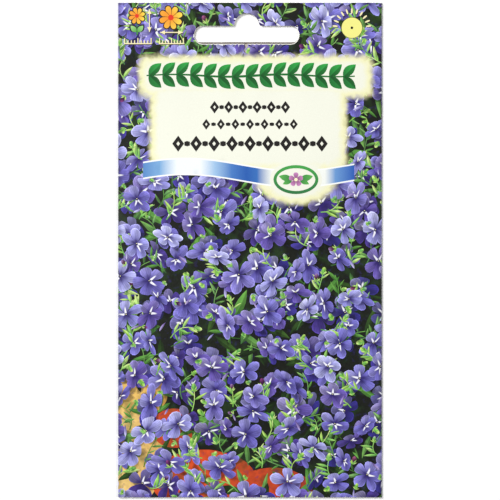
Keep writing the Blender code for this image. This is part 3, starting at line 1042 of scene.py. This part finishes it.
# Masks inside a motif, each the product of its ramps. A ramp reads how far along, across or beside
# the middle line a point lies, and gives its strength at two places.
motifMasks = {
    "petalLit": [("across", -0.35, 0.35, 0.74, 1.14)],
    "rim": [("edge", 0.72, 0.97, 0.0, 0.50), ("along", 0.35, 0.60, 0.0, 1.0)],
    "fold": [("beside", 0.0, 0.10, 0.42, 0.0), ("along", 0.45, 0.90, 1.0, 0.0)],
    "throat": [("along", 0.14, 0.54, 0.85, 0.0), ("beside", 0.05, 0.45, 1.0, 0.35)],
    "streak": [("lane", 0.14, 0.23, 1.0, 0.0), ("along", 0.07, 0.14, 0.0, 1.0),
               ("along", 0.36, 0.62, 1.0, 0.0)],
    "leafLit": [("across", -0.25, 0.25, 0.64, 1.14)],
    "rib": [("beside", 0.05, 0.20, 0.35, 0.0), ("along", 0.50, 0.95, 1.0, 0.0)],
}
motifLook = {
    # fine veins fan out from below the throat; a streak tapers away from the eye
    "fan": 24.0, "fanRoot": 0.35, "veins": (-1.0, 1.0, 0.86, 1.06), "taper": 0.20,
    "petalDark": "#271A60", "streak": "#EFEFF8",
    "grounds": [("greens", "#26421C"), ("violets", "#2C2462")],
}


def motifInk(add, place, ink, patterns):
    # what the ink does inside each motif, from where the point lies in it
    along, across, kind = (add("SeparateXYZ", (place,), out=k) for k in range(3))
    pattern, beside = (add("Math", (value,), "ABSOLUTE") for value in (kind, across))
    isKind = {name: add("Math", (pattern, inkKinds[name], 0.4), "COMPARE")
              for name in ("petal", "streaked", "leaf", "ground")}

    # how near a petal's rim is comes from the same outline as its shape
    off = add("Math", (along, 1 / petal["reach"], -petal["centre"] / petal["reach"]), "MULTIPLY_ADD")
    bow = add("Math", (off, off), "MULTIPLY")
    bow = add("Math", (bow, -1.0, 1.0), "MULTIPLY_ADD")
    bow = add("Math", (bow, 0.001), "MAXIMUM")
    bow = add("Math", (bow,), "SQRT")
    flare = add("Math", (along, petal["flare"], petal["throat"]), "MULTIPLY_ADD")
    reach = add("Math", (bow, flare), "MULTIPLY")
    edge = add("Math", (beside, reach), "DIVIDE")
    lane = add("Math", (along, motifLook["taper"], beside), "MULTIPLY_ADD")
    reads = {"along": along, "across": across, "beside": beside, "edge": edge, "lane": lane}
    masks = {"streak": isKind["streaked"]}
    for name, ramps in motifMasks.items():
        for source, *span in ramps:
            ramp = add("MapRange", (reads[source], *span), **eased)
            masks[name] = add("Math", (masks[name], ramp), "MULTIPLY") if name in masks else ramp

    # a petal has veins, one side in light, a paler rim, a dark fold and throat, and may have a streak
    fan = add("Math", (along, motifLook["fanRoot"]), "ADD")
    fan = add("Math", (across, fan), "DIVIDE")
    fan = add("Math", (fan, motifLook["fan"]), "MULTIPLY")
    veins = add("Math", (fan,), "SINE")
    veins = add("MapRange", (veins, *motifLook["veins"]))
    tone = add("Math", (veins, masks["petalLit"]), "MULTIPLY")
    petalInk = add("MixRGB", (1.0, ink, tone), blend_type="MULTIPLY")
    petalInk = add("MixRGB", (masks["rim"], petalInk, ink), blend_type="ADD")
    for mask, colour in (("fold", "petalDark"), ("throat", "petalDark"), ("streak", "streak")):
        petalInk = add("MixRGB", (masks[mask], petalInk, motifLook[colour]))

    # a leaf has one side in light and a pale midrib; the ground is blurred, out of the picture's focus
    leafInk = add("MixRGB", (1.0, ink, masks["leafLit"]), blend_type="MULTIPLY")
    leafInk = add("MixRGB", (masks["rib"], leafInk, ink), blend_type="ADD")
    groundInk = ink
    for name, colour in motifLook["grounds"]:
        groundInk = add("MixRGB", (patterns[name], groundInk, colour))

    isKind["petal"] = add("Math", (isKind["petal"], isKind["streaked"]), "MAXIMUM")
    colour = ink
    for name, drawn in (("petal", petalInk), ("leaf", leafInk), ("ground", groundInk)):
        colour = add("MixRGB", (isKind[name], colour, drawn))
    under = add("Math", (kind, 0.5), "GREATER_THAN")
    return add("MixRGB", (under, colour, patterns["grain"]), blend_type="MULTIPLY"), under


def creamPanel(add, blank, under, colour, patterns):
    # the cream panel over the picture, with a soft, slightly uneven edge
    x, y = (add("SeparateXYZ", (blank,), out=k) for k in range(2))
    depth = None
    for x0, y0, x1, y1 in panel["boxes"]:
        least = None
        for sides in ((x, x0), (x1, x), (y, y0), (y1, y)):
            gap = add("Math", sides, "SUBTRACT")
            least = gap if least is None else add("Math", (least, gap, panel["corner"]), "SMOOTH_MIN")
        depth = least if depth is None else add("Math", (depth, least), "MAXIMUM")
    centre, wide, tall = panel["glow"]
    oval = add("VectorMath", (blank, (centre.real, centre.imag, 0.0)), "SUBTRACT")
    oval = add("VectorMath", (oval, (wide, tall, 1.0)), "DIVIDE")
    oval = add("VectorMath", (oval,), "LENGTH", out="Value")
    oval = add("Math", (oval, -tall, tall), "MULTIPLY_ADD")
    depth = add("Math", (depth, oval, panel["blend"]), "SMOOTH_MAX")
    depth = add("Math", (depth, patterns["ragged"]), "ADD")
    for tint, start, end in panel["fades"]:
        share = add("MapRange", (depth, start, end), **eased)
        share = add("Math", (share, under), "MULTIPLY")
        colour = add("MixRGB", (share, colour, tint))
    return colour


laminate = {
    # painted shade beside a crease and a cut end, where the sheet turns away from the light: how far it
    # reaches and the least light it leaves
    "crease": (1.7, 0.70), "cutEnd": (1.0, 0.84), "shadeFrom": 0.3,
    "rubbedReach": (0.10, 0.40), "rubbedPaper": "#E2DFD8",
    # the fibres below the film, then its own waves: size in millimetres, detail, strength and height
    "reliefs": [(0.35, 4.0, 0.25, 0.02), (6.0, 1.0, 0.35, 0.10)],
    "rough": (0.3, 0.7, 0.33, 0.43), "ior": 1.46,
}


def laminatedPrint():
    # Offset print under a thin gloss film, on coated paper: saturated ink, an even soft sheen,
    # and paper fibres that only just lift the film.
    material, add = newMaterial("film_laminated_offset_printed_paper")
    ink = add("Attribute", out="Color", attribute_name="ink")
    place = add("Attribute", out="Vector", attribute_name="place")
    blank = add("UVMap", uv_map="blank")
    patterns = {}
    for name, (size, detail, easing, *span) in printPatterns.items():
        noise = add("TexNoise", {"Vector": blank, "Scale": 1 / size, "Detail": detail}, out="Fac")
        patterns[name] = add("MapRange", (noise, *span), interpolation_type=easing)
    colour, under = motifInk(add, place, ink, patterns)
    colour = creamPanel(add, blank, under, colour, patterns)
    colour = add("MixRGB", (1.0, colour, patterns["mottle"]), blend_type="MULTIPLY")

    # edges: painted shade beside the creases and the cut ends, and ink rubbed off the creases by handling
    across, level = (add("Math", (add("SeparateXYZ", (blank,), out=k),), "ABSOLUTE") for k in range(2))
    off = add("Math", (across, foldX + foldArc / 2), "SUBTRACT")
    off = add("Math", (off,), "ABSOLUTE")
    end = add("Math", (halfHeight, level), "SUBTRACT")
    for near, (reach, least) in ((off, laminate["crease"]), (end, laminate["cutEnd"])):
        edgeShade = add("MapRange", (near, laminate["shadeFrom"], reach, least, 1.0), **eased)
        colour = add("MixRGB", (1.0, colour, edgeShade), blend_type="MULTIPLY")
    crease = add("MapRange", (off, *laminate["rubbedReach"], 1.0, 0.0), **eased)
    rubbed = add("Math", (patterns["rubbed"], crease), "MULTIPLY")
    colour = add("MixRGB", (rubbed, colour, laminate["rubbedPaper"]))

    position = add("TexCoord", out="Object")
    rough, normal = None, {}
    for size, detail, strength, height in laminate["reliefs"]:
        noise = {"Vector": position, "Scale": 1 / (size * mm), "Detail": detail}
        relief = add("TexNoise", noise, out="Fac")
        if rough is None:
            rough = add("MapRange", (relief, *laminate["rough"]))
        bump = {"Strength": strength, "Distance": height * mm, "Height": relief, **normal}
        normal = {"Normal": add("Bump", bump, out="Normal")}
    surface = {"Base Color": colour, "Roughness": rough, "IOR": laminate["ior"], **normal}
    add("OutputMaterial", {"Surface": add("BsdfPrincipled", surface)})
    return material


def slotStepShade(add, position, colour):
    # painted shade on the step that the slot's lower front leaves bare, in the recess between the plies
    floor = halfHeight - slot["drop"]
    level = add("SeparateXYZ", (position,), out=1)
    edges = zip((floor - slot["slip"], floor), slot["dustFades"])
    starts, ends = ([(edge + shift) * mm for shift in shifts] for edge, shifts in edges)
    above = add("MapRange", (level, *starts), **eased)
    below = add("MapRange", (level, *ends, 1.0, 0.0), **eased)
    dusty = add("Math", (above, below), "MULTIPLY")
    return add("MixRGB", (dusty, colour, slot["dust"]))


# The finishes without print. A noise is a size in millimetres and a detail: the first mixes the two
# tints over a range, and the last one, or else pits, makes a relief of a strength and a height.
plainFinishes = {
    # the sheet's inside and its cut edges: matt, with a faint cloudiness and short fibres, and painted
    # shade on the slot's step
    "uncoated_white_pulp_paper": {
        "tints": ("#F6F4EE", "#E6E6E2"), "noises": [(2.5, 3.0), (0.25, 4.0)], "range": (0.35, 0.70),
        "bump": (0.5, 0.03), "paintedShade": slotStepShade, "sockets": {"Roughness": 0.85},
    },
    # water-based glue: almost clear, faintly amber, rippled where the ply was pressed
    "dried_dextrin_paper_glue": {
        "tints": ("#EFE6CE", "#DCCB9F"), "noises": [(1.5, 3.0)], "range": (0.35, 0.65),
        "bump": (0.5, 0.04), "sockets": {"Roughness": 0.35, "IOR": 1.48},
    },
    # vacuum metallised: a bright mirror-like skin with fine drawn creases
    "metallised_polyester_film": {
        "tints": ("#C9CCD0", "#E4E6E8"), "noises": [(1.1, 3.0)], "range": (0.30, 0.70),
        "stretch": (1.0, 0.22, 1.0), "bump": (0.6, 0.05), "rough": (0.0, 1.0, 0.16, 0.34),
        "sockets": {"Metallic": 1.0},
    },
    # warm brown, finely pitted, with a dull waxy sheen
    "dry_pitted_seed_coat": {
        "tints": ("#4A2A16", "#8A5A32"), "noises": [(0.8, 2.0)], "range": (0.35, 0.65),
        "pits": 0.12, "bump": (0.6, 0.03), "sockets": {"Roughness": 0.5},
    },
    # the table top: even and without gloss, so that only the thin shadow shows on it
    "matt_white_board": {
        "tints": ("#FAFAFA", "#F6F6F6"), "noises": [(10 / 9, 2.0)],
        "sockets": {"Roughness": 0.9, "Specular IOR Level": 0.2},
    },
}


def plainMaterial(name):
    finish = plainFinishes[name]
    material, add = newMaterial(name)
    position = add("TexCoord", out="Object")
    if "stretch" in finish:
        position = add("Mapping", {"Vector": position, "Scale": finish["stretch"]})
    noises = []
    for size, detail in finish["noises"]:
        noise = {"Vector": position, "Scale": 1 / (size * mm), "Detail": detail}
        noises.append(add("TexNoise", noise, out="Fac"))
    share, relief, surface = noises[0], noises[-1], dict(finish["sockets"])
    if "rough" in finish:
        surface["Roughness"] = add("MapRange", (share, *finish["rough"]))
    if "range" in finish:
        share = add("MapRange", (share, *finish["range"]), **eased)
    surface["Base Color"] = add("MixRGB", (share, *finish["tints"]))
    # painted shade, where a finish has it
    if "paintedShade" in finish:
        surface["Base Color"] = finish["paintedShade"](add, position, surface["Base Color"])
    if "pits" in finish:
        relief = add("TexVoronoi", {"Vector": position, "Scale": 1 / (finish["pits"] * mm)}, out="Distance")
    if "bump" in finish:
        strength, height = finish["bump"]
        bump = {"Strength": strength, "Distance": height * mm, "Height": relief}
        surface["Normal"] = add("Bump", bump, out="Normal")
    add("OutputMaterial", {"Surface": add("BsdfPrincipled", surface)})
    return material


addShape(boxOutline(-blankHalf, -halfHeight, blankHalf, halfHeight), flat, "#FFFFFF", side="both")
drawBack()
drawPicture()
drawGarland(addShape, ("#1B5F2B", "#2FA044"), "#1F6A2E")
drawRules()
drawRibbon()
drawRoundel()
drawPictograms()
drawTornEdge()
frontHole, backHole = slotOutline(slot["slip"], slot["burr"]), slotOutline(0.0)
for outline in (frontHole, [complex(backMiddle - p.real, p.imag) for p in backHole],
                [complex(-backMiddle - p.real, p.imag) for p in backHole]):
    addShape(pairs(outline), flat, "#000000", ink="hole", side="both")

packet = buildSheet()
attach(packet, "root")
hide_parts("envelope")

innerPieces = {
    "dried_dextrin_paper_glue": ("seam_glue", "header_glue", "foot_glue"),
    "metallised_polyester_film": ("sachet_floor", "sachet_lid"),
    "dry_pitted_seed_coat": ("seeds",),
}
for finish, names in innerPieces.items():
    material = plainMaterial(finish)
    for name in names:
        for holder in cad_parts[name].material_slots:
            holder.material = material
print("inner pieces finished")

# the table top, lights and camera
look = {
    "frameWidth": 151.65 * mm, "lens": 135.0, "sensor": 36.0, "world": 0.16, "floor": 3.0,
    # place, size and power of each softbox; the first one casts the thin shadow at right and below
    "softboxes": [((-1.22, 0.96, 1.24), 1.0, 52.0), ((1.40, -0.24, 0.90), 0.8, 12.6)],
}
floorMesh = bpy.data.meshes.new("table_top")
work = bmesh.new()
bmesh.ops.create_grid(work, x_segments=1, y_segments=1, size=look["floor"])
work.to_mesh(floorMesh)
work.free()
floorMesh.materials.append(plainMaterial("matt_white_board"))
floor = addObject("table_top", floorMesh)

for spot, size, power in look["softboxes"]:
    light = bpy.data.lights.new("softbox", "AREA")
    light.energy, light.size = power, size
    holder = addObject("softbox", light)
    holder.location = spot
    holder.rotation_euler = (-Vector(spot)).to_track_quat("-Z", "Y").to_euler()

world = bpy.data.worlds.new("studio")
world.use_nodes = True
background = world.node_tree.nodes["Background"].inputs
background["Color"].default_value = (1, 1, 1, 1)
background["Strength"].default_value = look["world"]
bpy.context.scene.world = world
bpy.context.scene.view_settings.view_transform = "Standard"

camera = bpy.data.cameras.new("camera")
camera.lens, camera.sensor_width = look["lens"], look["sensor"]
cameraHolder = addObject("camera", camera)
cameraHolder.location = (0, 0, look["frameWidth"] * look["lens"] / look["sensor"] + frontTop * mm)
bpy.context.scene.camera = cameraHolder
print("table top, lights and camera ready")
